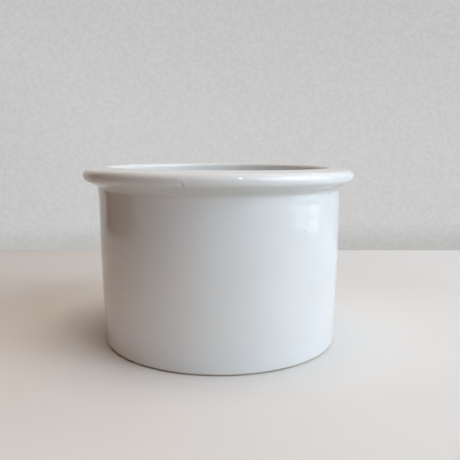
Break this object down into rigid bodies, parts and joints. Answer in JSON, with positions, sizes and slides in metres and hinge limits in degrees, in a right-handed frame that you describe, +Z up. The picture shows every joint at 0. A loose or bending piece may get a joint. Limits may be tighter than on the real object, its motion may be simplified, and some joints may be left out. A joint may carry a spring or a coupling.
{
  "type": "porcelain crucible",
  "caption": "Straight-sided glazed porcelain pot, open at the top, with a heavy rolled rim and a bare foot ring to stand on.",
  "frame": {"origin": "centre of the foot ring, on the surface that the pot stands on", "axes": "+Z up along the pot's axis, out of the mouth; X and Y level, and alike because the pot is round"},
  "size_m": [0.15, 0.15, 0.0975],
  "materials": {
    "white_glaze": "smooth gloss glaze, cool white, slightly wavy",
    "bare_porcelain": "unglazed, ground flat, matt warm white with a fine grit"
  },
  "bodies": {
    "root": {"biscuit_body": "bare_porcelain", "glaze_coat": "white_glaze", "base_glaze": "white_glaze"}
  },
  "joints": []
}
